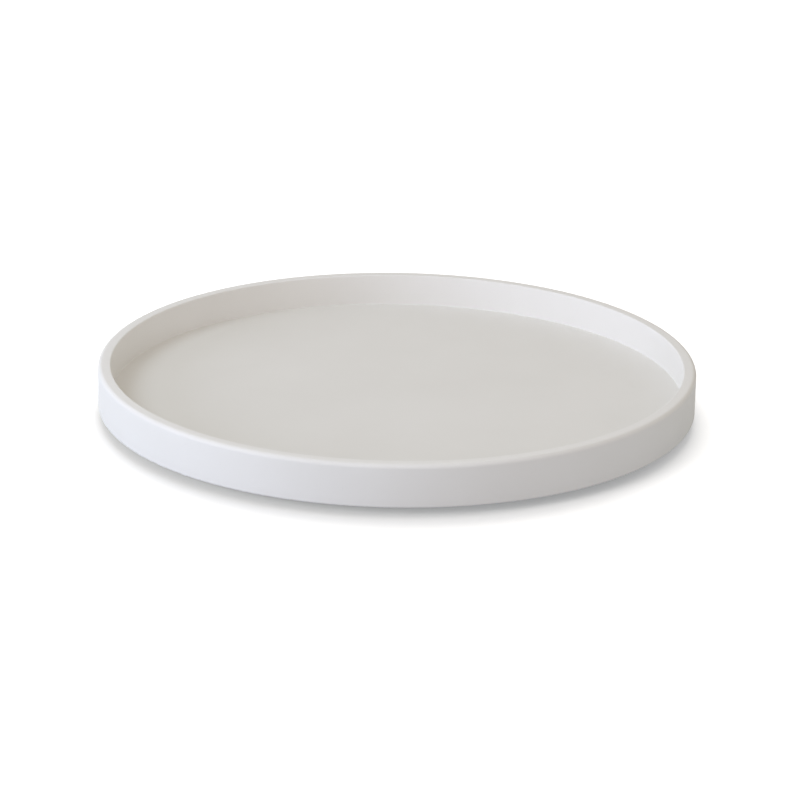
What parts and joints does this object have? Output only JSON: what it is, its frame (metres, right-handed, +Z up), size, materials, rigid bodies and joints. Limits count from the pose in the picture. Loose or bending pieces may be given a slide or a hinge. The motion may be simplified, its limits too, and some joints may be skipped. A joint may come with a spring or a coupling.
{
  "type": "lazy susan turntable",
  "caption": "Low round serving tray with an upright rim that turns freely on a hidden ring ball bearing standing on rubber feet.",
  "frame": {"origin": "on the table, under the centre of the tray", "axes": "+Z up along the turning axis; +X to the right and -Y towards the viewer as pictured"},
  "size_m": [0.35, 0.35, 0.0307],
  "materials": {
    "tray": "matte",
    "ring_metal": "satin",
    "screw_steel": "satin",
    "insert_brass": "satin",
    "ball_steel": "polished",
    "cage_plastic": "matte",
    "foot_rubber": "matte"
  },
  "bodies": {
    "base": {"inner_ring": "ring_metal", "fill_plug": "ring_metal", "plug_pin": "screw_steel", "foot_1": "foot_rubber", "foot_2": "foot_rubber", "foot_3": "foot_rubber", "foot_4": "foot_rubber", "foot_5": "foot_rubber", "foot_6": "foot_rubber", "foot_7": "foot_rubber", "foot_8": "foot_rubber"},
    "turning_tray": {"tray": "tray", "tray_inserts": "insert_brass", "outer_ring": "ring_metal", "ring_screws": "screw_steel"},
    "ball_train": {"ball_cage": "cage_plastic", "ball_01": "ball_steel", "ball_02": "ball_steel", "ball_03": "ball_steel", "ball_04": "ball_steel", "ball_05": "ball_steel", "ball_06": "ball_steel", "ball_07": "ball_steel", "ball_08": "ball_steel", "ball_09": "ball_steel", "ball_10": "ball_steel", "ball_11": "ball_steel", "ball_12": "ball_steel", "ball_13": "ball_steel", "ball_14": "ball_steel", "ball_15": "ball_steel", "ball_16": "ball_steel", "ball_17": "ball_steel", "ball_18": "ball_steel", "ball_19": "ball_steel", "ball_20": "ball_steel", "ball_21": "ball_steel", "ball_22": "ball_steel", "ball_23": "ball_steel", "ball_24": "ball_steel", "ball_25": "ball_steel", "ball_26": "ball_steel", "ball_27": "ball_steel", "ball_28": "ball_steel", "ball_29": "ball_steel", "ball_30": "ball_steel"}
  },
  "joints": [
    {"name": "tray_spin", "type": "hinge", "parent": "base", "child": "turning_tray", "pos_m": [0, 0, 0.00435], "axis": [0, 0, 1], "continuous": true},
    {"name": "cage_orbit", "type": "hinge", "parent": "base", "child": "ball_train", "pos_m": [0, 0, 0.00435], "axis": [0, 0, 1], "continuous": true}
  ],
  "couplings": [
    {"joint": "cage_orbit", "follows": "tray_spin", "ratio": 0.50482}
  ]
}
